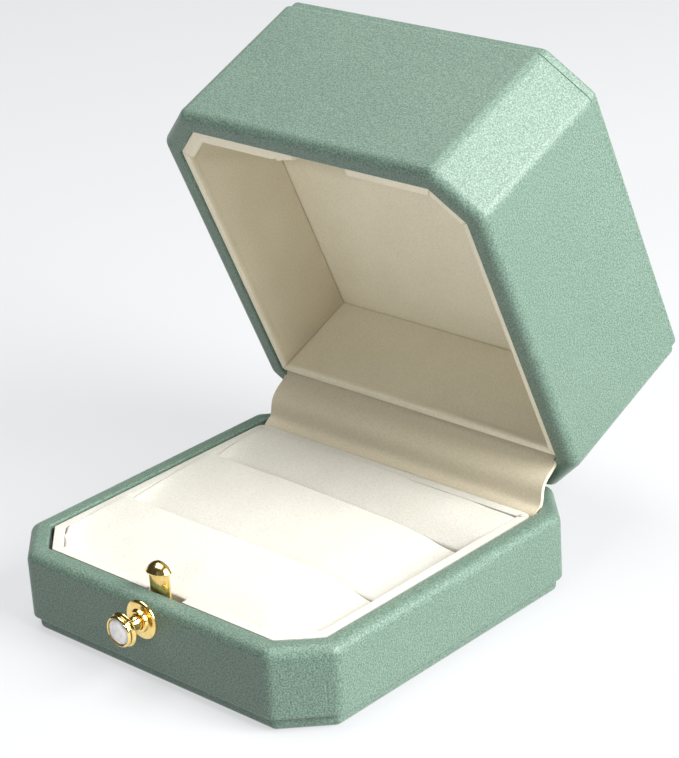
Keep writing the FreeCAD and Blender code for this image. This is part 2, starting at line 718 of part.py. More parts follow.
def lid_casing():
    """Moulded shell, its leatherette and the wrapped plate on top."""
    low = LID_LOW + " + cover_thick"
    top = "lid_top - cover_thick"
    inner = "cover_thick + lid_wall"
    form = new_body("lid_shell_form")
    pad(form, "lid_walls", octagon("cover_thick"), low, top)
    fillet(form, "lid_edges", "edge_round - cover_thick", upright)
    fillet(form, "lid_shoulder", "shoulder_round - cover_thick", level_at(low, "cover_thick"))
    pocket(form, "lid_hollow", octagon(inner), low, "ceiling + card")
    step = new_body("lid_step")
    pad(step, "lid_upper_hollow", octagon(inner + " + 1.6"), "ceiling + card",
        "lid_top - cover_thick - lid_roof")
    head_pocket = block("lid_head_pocket", ("-head_room", "hook_face - 1.4", "hook_catch - 0.1"),
                        ("head_room", "-box_half + 8", "hook_catch + head_high + 0.5"))
    rivet_holes = [rod("lid_rivet_hole_%d" % k, "y", "rivet_radius + fit_gap",
                       ("%d * rivet_pitch" % k, "box_half - lid_rim", LID_RIVET_UP), "2.9")
                   for k in (-1, 0, 1)]
    keeper_holes = [rod("keeper_hole_%d" % k, "y", "pin_hole",
                        ("%d * keeper_rivet_side" % k, "-box_half + cover_thick + 1", "keeper_rivet_up"),
                        "2") for k in (-1, 1)]
    shell = cut("lid_shell", form, [step, lid_notch("shell"), head_pocket] + rivet_holes + keeper_holes)

    skin = new_body("lid_cover_block")
    pad(skin, "lid_cover_outer", octagon("0"), LID_LOW, "lid_top")
    fillet(skin, "lid_cover_edges", "edge_round", upright)
    fillet(skin, "lid_cover_shoulder", "shoulder_round", level_at(LID_LOW, "0"))
    fillet(skin, "lid_cover_crown", "crease_round", level_at("lid_top", "0"))
    pocket(skin, "lid_cover_mouth", octagon("lid_rim"), LID_LOW, top)
    fillet(skin, "lid_cover_lip", "crease_round", level_at(LID_LOW, "lid_rim"))
    above = new_body("lid_above_turn")
    pad(above, "above_turn", octagon(inner), LID_LOW + " + turn_down", "lid_top - cover_thick - lid_roof")
    catch_notch = block("lid_cover_catch_notch",
                        ("-keeper_half - 0.1", "-box_half + cover_thick + lid_wall - 0.1", low),
                        ("keeper_half + 0.1", "-box_half + 8", LID_LOW + " + 6"))
    leaf_relief = block("lid_leaf_relief", ("-hinge_half - notch_gap", "box_half - lid_rim - 0.2", low),
                        ("hinge_half + notch_gap", "box_half - cover_thick - lid_wall + 0.1",
                         LID_LOW + " + 5"))
    cover = cut("lid_cover", skin, [form, above, lid_notch("cover"), leaf_relief, catch_notch])

    plate = new_body("crown_block")
    pad(plate, "crown_outer", octagon("crown_inset"), "lid_top + seam", "crown_top")
    fillet(plate, "crown_edges", "edge_round - crown_inset", upright)
    fillet(plate, "crown_round", "fold_round", level_at("crown_top", "crown_inset"))
    board = new_body("crown_board")
    pad(board, "crown_board_pad", octagon("crown_inset + wrap_thick"), "lid_top + seam",
        "crown_top - wrap_thick")
    fillet(board, "crown_board_edges", "edge_round - crown_inset - wrap_thick", upright)
    pad(board, "crown_foot", octagon("crown_inset + seam_depth"), "lid_top", "lid_top + seam")
    return [shell, cover, cut("lid_top_cover", plate, [board]), group("lid_top_board", [board])]


def lid_notch(tag):
    """Where the hinge passes through the lid's rear rim."""
    return block(tag + "_lid_hinge_notch",
                 ("-hinge_half - notch_gap", "box_half - lid_rim - 0.4", LID_LOW + " - 1"),
                 ("hinge_half + notch_gap", "box_half + 1", "axis_z + barrel_radius + 0.1"))


def lid_liner():
    """Velvet covered cards: a ceiling, four walls and two front corner cards, mitred together."""
    outer = "lid_rim + 0.1"
    inner = outer + " + card"
    half = octagon(outer)[2][0]
    near = octagon(inner)[2][0]
    flat_outer = octagon(outer)[1][0]
    flat_inner = octagon(inner)[1][0]
    rear = "liner_rear"
    back = "liner_rear + card"
    walls = {
        "lid_liner_front": [("-" + flat_outer, "-" + half), (flat_outer, "-" + half),
                            (flat_inner, "-" + near), ("-" + flat_inner, "-" + near)],
        "lid_liner_corner_right": [(flat_outer, "-" + half), (half, "-" + flat_outer),
                                   (near, "-" + flat_inner), (flat_inner, "-" + near)],
        "lid_liner_right": [(half, "-" + flat_outer), (half, back), (near, rear), (near, "-" + flat_inner)],
        "lid_liner_rear": [(half, back), ("-" + half, back), ("-" + near, rear), (near, rear)],
        "lid_liner_left": [("-" + half, back), ("-" + half, "-" + flat_outer),
                           ("-" + near, "-" + flat_inner), ("-" + near, rear)],
        "lid_liner_corner_left": [("-" + half, "-" + flat_outer), ("-" + flat_outer, "-" + half),
                                  ("-" + flat_inner, "-" + near), ("-" + near, "-" + flat_inner)],
    }
    cards = []
    for name, corners in walls.items():
        body = new_body(name if name != "lid_liner_front" else "liner_front_blank")
        pad(body, name + "_card", corners, "liner_low", "ceiling")
        cards.append(body)
    notch = block("liner_hook_notch", ("-head_room + 0.1", "-box_half", "liner_low - 1"),
                  ("8.6", "-box_half + 8", "hook_catch + head_high + 0.9"))
    cards[0] = cut("lid_liner_front", cards[0], [notch])
    ceiling = new_body("lid_liner_ceiling")
    pad(ceiling, "ceiling_card", insert_outline(outer, back), "ceiling", "ceiling + card")
    return cards + [ceiling]


def lid_keeper():
    """Steel plate behind the lid's front rim, whose lower bar the hook's lip catches on."""
    wall_face = "-box_half + cover_thick + lid_wall"
    plate = block("keeper_plate", ("-keeper_half", wall_face, LID_LOW + " + cover_thick + 0.2"),
                  ("keeper_half", wall_face + " + keeper_thick", "keeper_rivet_up + 1.1"))
    window = block("keeper_window", ("-head_room", wall_face + " - 1", "hook_catch - 0.1"),
                   ("head_room", wall_face + " + 2", "keeper_rivet_up + 2"))
    places = {k: "%d * keeper_rivet_side" % k for k in (-1, 1)}
    holes = [rod("keeper_plate_hole_%d" % k, "y", "pin_hole",
                 (place, wall_face + " - 1", "keeper_rivet_up"), "3") for k, place in places.items()]
    rivets = []
    for k, place in places.items():
        head = rod("keeper_rivet_head_%d" % k, "y", "pin_shank + 0.4",
                   (place, wall_face + " + keeper_thick", "keeper_rivet_up"), "0.15")
        shank = rod("keeper_rivet_shank_%d" % k, "y", "pin_shank",
                    (place, wall_face + " - 1", "keeper_rivet_up"), "keeper_thick + 1")
        rivets.append(fuse("keeper_rivet_%d" % k, [head, shank]))
    return [cut("lid_keeper", plate, [window] + holes), group("lid_keeper_rivets", rivets)]


# ---------------------------------------------------------------- assembly

base_wall_face = "box_half - cover_thick - base_wall"
lid_wall_face = "box_half - cover_thick - lid_wall"

base_parts = base_plate() + base_casing() + insert_frame() + ring_pads()
base_parts += [escutcheon()] + latch_bracket() + [hook_spring()]
base_parts += [
    hinge_leaf("hinge_leaf_base", BASE_KNUCKLES, base_wall_face, "axis_z - barrel_radius - leaf_drop",
               "axis_z - barrel_radius + leaf_thick", "axis_z - barrel_radius", "pin_radius + 0.01",
               BASE_RIVET_UP),
    hinge_rivets("hinge_rivets_base", base_wall_face, BASE_RIVET_UP),
    rod("hinge_pin", "x", "pin_radius", ("-hinge_half - 0.4", "axis_y", "axis_z"), "2 * hinge_half + 0.8"),
    hinge_springs(),
    hinge_cover(),
]
button_parts = button()
hook_parts = [latch_hook()]
lid_parts = lid_casing() + lid_liner() + lid_keeper()
lid_parts += [
    hinge_leaf("hinge_leaf_lid", LID_KNUCKLES, lid_wall_face, "axis_z + barrel_radius - leaf_thick",
               "axis_z + barrel_radius + leaf_drop", "axis_z + barrel_radius - leaf_thick",
               "pin_radius + 0.05", LID_RIVET_UP),
    hinge_rivets("hinge_rivets_lid", lid_wall_face, LID_RIVET_UP),
]
doc.recompute()

axis_point = Vector(0, value("axis_y"), value("axis_z"))
lid_turn = Placement(Vector(0, 0, 0), Rotation(Vector(1, 0, 0), -value("open_angle")), axis_point)
for part in lid_parts:
    part.Placement = lid_turn.multiply(part.Placement)
doc.recompute()

# ---------------------------------------------------------------- checks and files

for thing in doc.Objects:
    if "Invalid" in thing.State or "Error" in thing.State:
        raise RuntimeError("%s is %s" % (thing.Name, thing.State))

os.makedirs("parts", exist_ok=True)
for part in base_parts + button_parts + hook_parts + lid_parts:
    if part.Shape.isNull() or not part.Shape.isValid():
        raise RuntimeError(part.Label + " has no valid shape")
    part.Shape.exportStep("parts/%s.step" % part.Label)
    box = part.Shape.BoundBox
    print("%-24s %2d solid(s) %9.1f mm3   x %6.1f %6.1f   y %6.1f %6.1f   z %6.1f %6.1f" % (
        part.Label, len(part.Shape.Solids), part.Shape.Volume,
        box.XMin, box.XMax, box.YMin, box.YMax, box.ZMin, box.ZMax))
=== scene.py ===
# %% [markdown]
# # A ring box in sage leatherette
#
# This box has a padded base and lid with eight sides, three velvet pads that hold rings between
# them, a ribbon over the hinge, and a gold button that lets go of the lid. The hard parts come
# ready made as a fixed frame. We load them, give each one its finish, and then model the soft and
# the shiny pieces ourselves, because velvet and polished metal need rounder shapes than a plan has.

# %% Load the frame
import json
import math

import bpy
from mathutils import Matrix, Vector


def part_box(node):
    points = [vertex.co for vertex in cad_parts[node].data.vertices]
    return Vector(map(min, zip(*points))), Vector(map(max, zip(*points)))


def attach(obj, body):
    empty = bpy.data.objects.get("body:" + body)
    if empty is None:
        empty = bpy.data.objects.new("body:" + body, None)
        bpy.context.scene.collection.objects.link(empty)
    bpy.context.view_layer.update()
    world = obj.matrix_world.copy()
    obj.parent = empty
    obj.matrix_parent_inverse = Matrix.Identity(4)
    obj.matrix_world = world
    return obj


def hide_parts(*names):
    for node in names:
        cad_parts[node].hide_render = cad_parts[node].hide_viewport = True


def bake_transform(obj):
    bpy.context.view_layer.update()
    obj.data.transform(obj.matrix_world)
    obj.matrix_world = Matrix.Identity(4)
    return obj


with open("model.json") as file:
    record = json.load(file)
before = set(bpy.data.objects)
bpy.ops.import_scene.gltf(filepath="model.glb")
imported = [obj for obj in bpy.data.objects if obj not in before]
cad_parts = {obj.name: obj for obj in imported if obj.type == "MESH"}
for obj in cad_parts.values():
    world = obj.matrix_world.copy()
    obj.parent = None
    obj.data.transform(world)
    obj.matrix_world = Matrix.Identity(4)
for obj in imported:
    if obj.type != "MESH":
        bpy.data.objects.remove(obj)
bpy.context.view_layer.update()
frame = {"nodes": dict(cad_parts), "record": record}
MM = 0.001

# %% [markdown]
# ## Where things are
#
# Everything below is placed from a few sizes of the box: half its width, the bevelled corners, the
# two rims, and the hinge line that the lid turns on. The lid's pieces are easiest to model while
# the lid is shut, so one matrix carries them from shut to open when they are done.

# %% The sizes of the box
base_low, base_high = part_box("base_cover")
BOX_HALF = base_high.x
RIM_TOP = base_high.z
BEVEL_LEG = 8.3 * MM
FLAT_SHARE = math.tan(math.radians(22.5))
LINER_LOW = 16.2 * MM
LINER_HIGH = 35.5 * MM
OPEN_ANGLE = math.radians(67)
joints = {joint["name"]: joint for joint in frame["record"]["behaviour"]["joints"]}
hinge_line = Vector(joints["lid_hinge"]["pos_m"])
OPEN_LID = (Matrix.Translation(hinge_line) @ Matrix.Rotation(-OPEN_ANGLE, 4, "X")
            @ Matrix.Translation(-hinge_line))


def flat_half(inset):
    """Half the length of the straight side of the box's outline, moved in by inset."""
    return BOX_HALF - BEVEL_LEG - inset * FLAT_SHARE


print("half width", round(BOX_HALF / MM, 2), "mm, rim at", round(RIM_TOP / MM, 2), "mm")

# %% [markdown]
# ## Camera
#
# A long lens from well above the front right corner shows the pads, the inside of the lid and the
# button together, with little perspective. The camera looks at one point and leans a few degrees.
# We build its axes as a matrix, which says exactly where it stands, with no tracking constraint.

# %% Put up the camera
LOOK_AT = Vector((-22.79, 37.82, 23.08)) * MM
DISTANCE = 488.06 * MM
AZIMUTH = math.radians(43.96)
ELEVATION = math.radians(23.7)
LEAN = math.radians(-3.71)

back = Vector((math.sin(AZIMUTH) * math.cos(ELEVATION),
               -math.cos(AZIMUTH) * math.cos(ELEVATION),
               math.sin(ELEVATION)))
level_right = (-back).cross(Vector((0, 0, 1))).normalized()
level_up = level_right.cross(-back)
right = level_right * math.cos(LEAN) + level_up * math.sin(LEAN)
up = level_up * math.cos(LEAN) - level_right * math.sin(LEAN)

camera_data = bpy.data.cameras.new("studio_camera")
camera_data.lens = 120.5
camera_data.sensor_width = 36
camera_data.clip_start = 0.01
camera = bpy.data.objects.new("studio_camera", camera_data)
bpy.context.scene.collection.objects.link(camera)
camera.matrix_world = Matrix.Translation(LOOK_AT + back * DISTANCE) @ Matrix(
    (right, up, back)).transposed().to_4x4()
bpy.context.scene.camera = camera
print("camera stands at", [round(place, 3) for place in camera.location])

# %% [markdown]
# ## Floor and light
#
# The box stands on a pale light table, which glows a little from below, so shadows on it stay
# faint. A large lamp on the right makes the right side bright and leaves the front in shade, a
# second one overhead lights the pads, and a narrow lamp in front shines only into the open lid.

# %% Lay the floor and hang the lamps
bpy.context.scene.view_settings.view_transform = "Standard"
bpy.ops.object.select_all(action="DESELECT")
bpy.ops.mesh.primitive_plane_add(size=6, location=(0, 0, 0))
floor = bpy.context.object
floor.name = "studio_floor"
floor_paint = bpy.data.materials.new("pale_floor")
floor_paint.use_nodes = True
floor_shader = floor_paint.node_tree.nodes["Principled BSDF"]
floor_shader.inputs["Base Color"].default_value = (0.18, 0.181, 0.182, 1)
floor_shader.inputs["Roughness"].default_value = 0.7
floor_shader.inputs["Emission Color"].default_value = (0.97, 0.985, 1.0, 1)
floor_shader.inputs["Emission Strength"].default_value = 0.6
floor.data.materials.append(floor_paint)

world = bpy.data.worlds.new("studio_room")
bpy.context.scene.world = world
world.use_nodes = True
world.node_tree.nodes["Background"].inputs["Color"].default_value = (0.97, 0.985, 1.0, 1)
world.node_tree.nodes["Background"].inputs["Strength"].default_value = 0.05


def hang_lamp(name, place, aim, size, power):
    """A soft square lamp that points from its place at the aim."""
    lamp_data = bpy.data.lights.new(name, "AREA")
    lamp_data.size = size
    lamp_data.energy = power
    lamp = bpy.data.objects.new(name, lamp_data)
    bpy.context.scene.collection.objects.link(lamp)
    lamp.location = place
    lamp.rotation_euler = (Vector(aim) - Vector(place)).to_track_quat("-Z", "Y").to_euler()
    return lamp


hang_lamp("key_lamp", (0.56, 0.1, 0.39), (0, 0, 0.05), 0.5, 13.5)
hang_lamp("top_lamp", (-0.15, -0.04, 0.9), (0, 0, 0.03), 0.7, 7.5)
SNOOT_POWER = 32
SNOOT_ANGLE = math.radians(7.5)
snoot_data = bpy.data.lights.new("snoot_lamp", "SPOT")
snoot_data.energy = SNOOT_POWER
snoot_data.spot_size = SNOOT_ANGLE
snoot_data.spot_blend = 0.6
snoot_data.shadow_soft_size = 0.1
snoot = bpy.data.objects.new("snoot_lamp", snoot_data)
bpy.context.scene.collection.objects.link(snoot)
snoot.location = (0.25, -1.0, 0.55)
snoot_aim = Vector((0, 0.04, 0.066))
snoot.rotation_euler = (snoot_aim - snoot.location).to_track_quat("-Z", "Y").to_euler()

# %% [markdown]
# ## Modelling by hand, in code
#
# Each new piece starts as a primitive at its size and place. Then we pick corners, edges or faces
# by where they are, and move, cut, bevel or extrude them, just as with the mouse. These small
# helpers keep that readable. A finished piece has its place in its mesh and its object at the
# origin, so that patterns in its material stay put.

# %% Helpers that pick and shape
TINY = 0.02 * MM


def make_active(piece):
    """Selects one piece alone and makes it the active one."""
    bpy.ops.object.select_all(action="DESELECT")
    piece.select_set(True)
    bpy.context.view_layer.objects.active = piece


def settle(piece):
    """Moves the piece's place, turn and size from its object into its mesh."""
    make_active(piece)
    bpy.ops.object.transform_apply(location=True, rotation=True, scale=True)


def block(name, low, high):
    """A rectangular start between two corners."""
    low, high = Vector(low), Vector(high)
    bpy.ops.object.select_all(action="DESELECT")
    bpy.ops.mesh.primitive_cube_add(size=1, location=(low + high) / 2, scale=high - low)
    piece = bpy.context.object
    piece.name = name
    settle(piece)
    return piece


def pick(piece, wanted, kind="VERT"):
    """Goes into edit mode with what wanted() says yes to selected."""
    make_active(piece)
    bpy.ops.object.mode_set(mode="EDIT")
    bpy.ops.mesh.select_mode(type=kind)
    bpy.ops.mesh.select_all(action="DESELECT")
    bpy.ops.object.mode_set(mode="OBJECT")
    mesh = piece.data
    if kind == "VERT":
        for corner in mesh.vertices:
            corner.select = wanted(corner.co)
    if kind == "EDGE":
        for edge in mesh.edges:
            first, second = (mesh.vertices[k].co for k in edge.vertices)
            edge.select = wanted(first, second)
    if kind == "FACE":
        for face in mesh.polygons:
            face.select = wanted(face.center, face.normal)
    bpy.ops.object.mode_set(mode="EDIT")


def shift(piece, wanted, move):
    """Moves the corners that wanted() picks."""
    pick(piece, wanted)
    bpy.ops.transform.translate(value=move)
    bpy.ops.object.mode_set(mode="OBJECT")


def cut_across(piece, axis, places):
    """Cuts a line of edges right round the piece at each place along an axis."""
    for place in places:
        point = Vector((0, 0, 0))
        normal = Vector((0, 0, 0))
        point[axis] = place
        normal[axis] = 1
        pick(piece, lambda corner: True)
        bpy.ops.mesh.bisect(plane_co=point, plane_no=normal)
        bpy.ops.object.mode_set(mode="OBJECT")


def bevel_edges(piece, wanted, width, segments=1):
    """Bevels the edges that wanted() picks."""
    pick(piece, wanted, "EDGE")
    bpy.ops.mesh.bevel(offset=width, segments=segments, affect="EDGES")
    bpy.ops.object.mode_set(mode="OBJECT")


def apply_modifier(piece, kind, **settings):
    """Adds a modifier with these settings and applies it at once."""
    make_active(piece)
    modifier = piece.modifiers.new(kind.lower(), kind)
    for setting, amount in settings.items():
        setattr(modifier, setting, amount)
    bpy.ops.object.modifier_apply(modifier=modifier.name)


def close_up(piece, angle=40):
    """Merges doubles, turns every face outwards and shades the piece smooth up to an angle."""
    pick(piece, lambda corner: True)
    bpy.ops.mesh.remove_doubles(threshold=0.002 * MM)
    bpy.ops.mesh.normals_make_consistent(inside=False)
    bpy.ops.object.mode_set(mode="OBJECT")
    bpy.ops.object.shade_smooth_by_angle(angle=math.radians(angle))


def soften(piece, levels):
    """Rounds the whole piece with a subdivision surface."""
    apply_modifier(piece, "SUBSURF", levels=levels, render_levels=levels)


def ripple(piece, amount, size):
    """Gives foam and cloth their slight unevenness."""
    clouds = bpy.data.textures.new(piece.name + "_ripple", "CLOUDS")
    clouds.noise_scale = size
    apply_modifier(piece, "DISPLACE", texture=clouds, texture_coords="GLOBAL",
                   strength=amount, mid_level=0.5)


def chain(name, points):
    """A line of corners joined by edges, drawn by extruding one corner from point to point."""
    bpy.ops.object.select_all(action="DESELECT")
    bpy.ops.mesh.primitive_plane_add(size=2 * MM, location=points[0])
    piece = bpy.context.object
    piece.name = name
    settle(piece)
    first = piece.data.vertices[0].co.copy()
    pick(piece, lambda corner: (corner - first).length > TINY)
    bpy.ops.mesh.delete(type="VERT")
    bpy.ops.mesh.select_all(action="SELECT")
    bpy.ops.transform.translate(value=Vector(points[0]) - first)
    for here, there in zip(points, points[1:]):
        step = Vector(there) - Vector(here)
        bpy.ops.mesh.extrude_region_move(TRANSFORM_OT_translate={"value": step})
    bpy.ops.object.mode_set(mode="OBJECT")
    return piece


def close_chain(piece):
    """Joins the two ends of a chain."""
    last = len(piece.data.vertices) - 1
    ends = (piece.data.vertices[0].co.copy(), piece.data.vertices[last].co.copy())
    pick(piece, lambda corner: min((corner - end).length for end in ends) < TINY / 4)
    bpy.ops.mesh.edge_face_add()
    bpy.ops.object.mode_set(mode="OBJECT")


def spin_round(piece, centre, axis, steps):
    """Turns a chain all the way round an axis, as on a lathe."""
    pick(piece, lambda corner: True)
    bpy.ops.mesh.spin(steps=steps, angle=2 * math.pi, center=centre, axis=axis)
    bpy.ops.object.mode_set(mode="OBJECT")
    close_up(piece, 35)


def finished(piece, body, slot, finish, *nodes):
    """Paints a piece, fixes it to its body and hides the frame's nodes that it stands for."""
    piece.data.materials.clear()
    piece.data.materials.append(finish)
    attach(piece, body)
    if nodes:
        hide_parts(*nodes)
    print(piece.name, len(piece.data.polygons), "faces")
    return piece


# %% [markdown]
# ## Finishes as recipes
#
# Every finish here is a Principled shader with two things added: a colour that wanders a little
# between two tones, and a bump that stands for the surface's own grain. The patterns read Object
# coordinates, so a grain of a third of a millimetre is that size on every piece.

# %% Helpers that mix a finish
def new_finish(name, roughness, metallic=0.0):
    """A material with a Principled shader, ready for its patterns."""
    finish = bpy.data.materials.new(name)
    finish.use_nodes = True
    shader = finish.node_tree.nodes["Principled BSDF"]
    shader.inputs["Roughness"].default_value = roughness
    shader.inputs["Metallic"].default_value = metallic
    return finish, shader


def speckle(finish, grain_mm, detail=2.0, stretch=(1, 1, 1)):
    """Noise with features of about this many millimetres."""
    tree = finish.node_tree
    place = tree.nodes.new("ShaderNodeTexCoord")
    mapping = tree.nodes.new("ShaderNodeMapping")
    mapping.inputs["Scale"].default_value = stretch
    noise = tree.nodes.new("ShaderNodeTexNoise")
    noise.inputs["Scale"].default_value = 1 / (grain_mm * MM)
    noise.inputs["Detail"].default_value = detail
    tree.links.new(place.outputs["Object"], mapping.inputs["Vector"])
    tree.links.new(mapping.outputs["Vector"], noise.inputs["Vector"])
    return noise.outputs["Fac"]


def pebbles(finish, grain_mm):
    """Rounded cells of about this many millimetres, as pressed into leatherette."""
    tree = finish.node_tree
    place = tree.nodes.new("ShaderNodeTexCoord")
    cells = tree.nodes.new("ShaderNodeTexVoronoi")
    cells.feature = "SMOOTH_F1"
    cells.inputs["Scale"].default_value = 1 / (grain_mm * MM)
    tree.links.new(place.outputs["Object"], cells.inputs["Vector"])
    return cells.outputs["Distance"]


def tones(finish, pattern, dark, light, low=0.35, high=0.65):
    """A colour that runs from dark to light with a pattern."""
    ramp = finish.node_tree.nodes.new("ShaderNodeValToRGB")
    ramp.color_ramp.elements[0].position = low
    ramp.color_ramp.elements[0].color = (*dark, 1)
    ramp.color_ramp.elements[1].position = high
    ramp.color_ramp.elements[1].color = (*light, 1)
    finish.node_tree.links.new(pattern, ramp.inputs["Fac"])
    return ramp.outputs["Color"]


def blend_tones(finish, first, second, how="MULTIPLY", share=1.0):
    """Two colours laid over each other."""
    mix = finish.node_tree.nodes.new("ShaderNodeMix")
    mix.data_type = "RGBA"
    mix.blend_type = how
    mix.inputs["Factor"].default_value = share
    finish.node_tree.links.new(first, mix.inputs["A"])
    finish.node_tree.links.new(second, mix.inputs["B"])
    return mix.outputs["Result"]


def relief(finish, shader, pattern, height_mm, strength=1.0, under=None):
    """Raises the surface by a pattern, on top of an earlier relief if there is one."""
    bump = finish.node_tree.nodes.new("ShaderNodeBump")
    bump.inputs["Distance"].default_value = height_mm * MM
    bump.inputs["Strength"].default_value = strength
    finish.node_tree.links.new(pattern, bump.inputs["Height"])
    if under:
        finish.node_tree.links.new(under.outputs["Normal"], bump.inputs["Normal"])
    finish.node_tree.links.new(bump.outputs["Normal"], shader.inputs["Normal"])
    return bump


# %% [markdown]
# ## Sage leatherette
#
# The outside is a thin coated cloth with a fine sandy grain and a pearly surface, so its tiny
# bumps catch the light as pale specks. Pebble cells give the grain and a finer noise breaks them
# up. Sheen and a soft coat give the pearl. A slow change of tone keeps large faces from looking
# like plastic.

# %% Mix the leatherette
leatherette, leather_shader = new_finish("sage_leatherette", 0.5)
grain = speckle(leatherette, 0.27, 2.0)
fleck = tones(leatherette, grain, (0.052, 0.098, 0.069), (0.148, 0.224, 0.174), 0.36, 0.66)
drift = tones(leatherette, speckle(leatherette, 14, 1.0), (0.94, 0.95, 0.95), (1, 1, 1), 0.3, 0.7)
leatherette.node_tree.links.new(blend_tones(leatherette, fleck, drift),
                                leather_shader.inputs["Base Color"])
coarse = relief(leatherette, leather_shader, pebbles(leatherette, 0.32), 0.035, 0.7)
relief(leatherette, leather_shader, grain, 0.05, 0.8, coarse)
leather_shader.inputs["Sheen Weight"].default_value = 0.22
leather_shader.inputs["Sheen Roughness"].default_value = 0.4
leather_shader.inputs["Sheen Tint"].default_value = (0.96, 1.0, 0.98, 1)
leather_shader.inputs["Coat Weight"].default_value = 0.12
leather_shader.inputs["Coat Roughness"].default_value = 0.4
print("leatherette nodes:", len(leatherette.node_tree.nodes))

# %% [markdown]
# ## Ivory velvet and the hinge ribbon
#
# The lining is a very short velvet. It scatters light so softly that it has almost no highlight,
# but its nap glows at the edges, which is what Sheen is for. The pads and the lid are lined in the
# same ivory velvet, mixed twice: the lid's copy is painted lighter and warmer than the pads' copy,
# as painted light for the warm glow that bounces round inside the lid, and the pads' copy is
# painted darker against the strong lamps on them. The ribbon over the hinge is darker, with a
# smoother, slightly satin face.

# %% Mix the velvet
def mix_velvet(name, dark, light):
    """Short velvet between two tones, with its nap brushed this way and that."""
    cloth, shader = new_finish(name, 0.9)
    nap = speckle(cloth, 0.3, 2.0)
    tone = tones(cloth, nap, dark, light, 0.3, 0.62)
    brushed = tones(cloth, speckle(cloth, 9, 2.0), (0.955, 0.95, 0.94), (1, 1, 1), 0.3, 0.7)
    cloth.node_tree.links.new(blend_tones(cloth, tone, brushed), shader.inputs["Base Color"])
    relief(cloth, shader, nap, 0.06, 0.5)
    shader.inputs["Specular IOR Level"].default_value = 0.2
    shader.inputs["Sheen Weight"].default_value = 0.25
    shader.inputs["Sheen Roughness"].default_value = 0.5
    shader.inputs["Sheen Tint"].default_value = (1.0, 0.98, 0.93, 1)
    return cloth


# One ivory velvet mixed twice: the pads' copy is painted darker, to offset the strong lamps on
# them, and the lid's copy is painted lighter and warmer, as painted light for the warm glow that
# bounces round inside the lid.
velvet = mix_velvet("ivory_velvet", (0.44, 0.43, 0.38), (0.52, 0.51, 0.462))
lid_velvet_painted_warm_light = mix_velvet("ivory_velvet_painted_warm_light", (0.70, 0.64, 0.49), (0.79, 0.735, 0.59))

ribbon_cloth, ribbon_shader = new_finish("beige_ribbon", 0.7)
weave = speckle(ribbon_cloth, 0.3, 2.0)
ribbon_tone = tones(ribbon_cloth, weave, (0.50, 0.445, 0.32), (0.59, 0.53, 0.40), 0.3, 0.65)
ribbon_cloth.node_tree.links.new(ribbon_tone, ribbon_shader.inputs["Base Color"])
relief(ribbon_cloth, ribbon_shader, weave, 0.04, 0.5)
ribbon_shader.inputs["Sheen Weight"].default_value = 0.5
ribbon_shader.inputs["Sheen Roughness"].default_value = 0.35
ribbon_shader.inputs["Specular IOR Level"].default_value = 0.35
print("soft finishes:", velvet.name, ribbon_cloth.name)

# %% [markdown]
# ## Gold, crystal, steel and board
#
# The button and the hook are polished and gold plated. Real plating is never quite even, so its
# roughness wanders a little and very fine polishing lines run across it. The crystal is clear with
# flat facets. Steel and board are hardly seen, and still get a grain of their own.

# %% Mix the gold and the crystal
gold, gold_shader = new_finish("polished_gold", 0.1, 1.0)
plating = tones(gold, speckle(gold, 1.6, 2.0), (0.86, 0.60, 0.20), (0.98, 0.76, 0.32), 0.3, 0.7)
gold.node_tree.links.new(plating, gold_shader.inputs["Base Color"])
polish = gold.node_tree.nodes.new("ShaderNodeMapRange")
polish.inputs["To Min"].default_value = 0.1
polish.inputs["To Max"].default_value = 0.26
gold.node_tree.links.new(speckle(gold, 0.5, 3.0), polish.inputs["Value"])
gold.node_tree.links.new(polish.outputs["Result"], gold_shader.inputs["Roughness"])
relief(gold, gold_shader, speckle(gold, 0.25, 2.0, (1, 12, 1)), 0.004, 0.4)

crystal, crystal_shader = new_finish("clear_crystal", 0.03)
sparkle = tones(crystal, speckle(crystal, 1.2, 1.0), (0.80, 0.81, 0.90), (1, 1, 1), 0.35, 0.6)
crystal.node_tree.links.new(sparkle, crystal_shader.inputs["Base Color"])
crystal_shader.inputs["IOR"].default_value = 1.6
crystal_shader.inputs["Transmission Weight"].default_value = 0.25
crystal_shader.inputs["Coat Weight"].default_value = 1.0
crystal_shader.inputs["Coat Roughness"].default_value = 0.02
print("bright finishes:", gold.name, crystal.name)

# %% Mix the steel, the shell plastic and the board
steel, steel_shader = new_finish("zinc_steel", 0.35, 1.0)
zinc = tones(steel, speckle(steel, 2.5, 3.0), (0.50, 0.50, 0.51), (0.66, 0.66, 0.67), 0.3, 0.7)
steel.node_tree.links.new(zinc, steel_shader.inputs["Base Color"])
relief(steel, steel_shader, speckle(steel, 0.3, 2.0, (0.1, 1, 1)), 0.01, 0.5)

plastic, plastic_shader = new_finish("moulded_plastic", 0.5)
tint = tones(plastic, speckle(plastic, 3, 2.0), (0.055, 0.075, 0.065), (0.075, 0.10, 0.087),
             0.3, 0.7)
plastic.node_tree.links.new(tint, plastic_shader.inputs["Base Color"])
relief(plastic, plastic_shader, speckle(plastic, 0.4, 2.0), 0.02, 0.5)

board, board_shader = new_finish("grey_board", 0.85)
pulp = tones(board, speckle(board, 0.8, 4.0), (0.36, 0.34, 0.30), (0.46, 0.44, 0.40), 0.3, 0.7)
board.node_tree.links.new(pulp, board_shader.inputs["Base Color"])
relief(board, board_shader, speckle(board, 0.5, 4.0), 0.04, 0.6)

# %% [markdown]
# ## Dress the frame
#
# The covers, plates, shells, hinge leaves and rivets have the right shape already. We only swap
# the material in each node's slots for the finish that its record slot names.

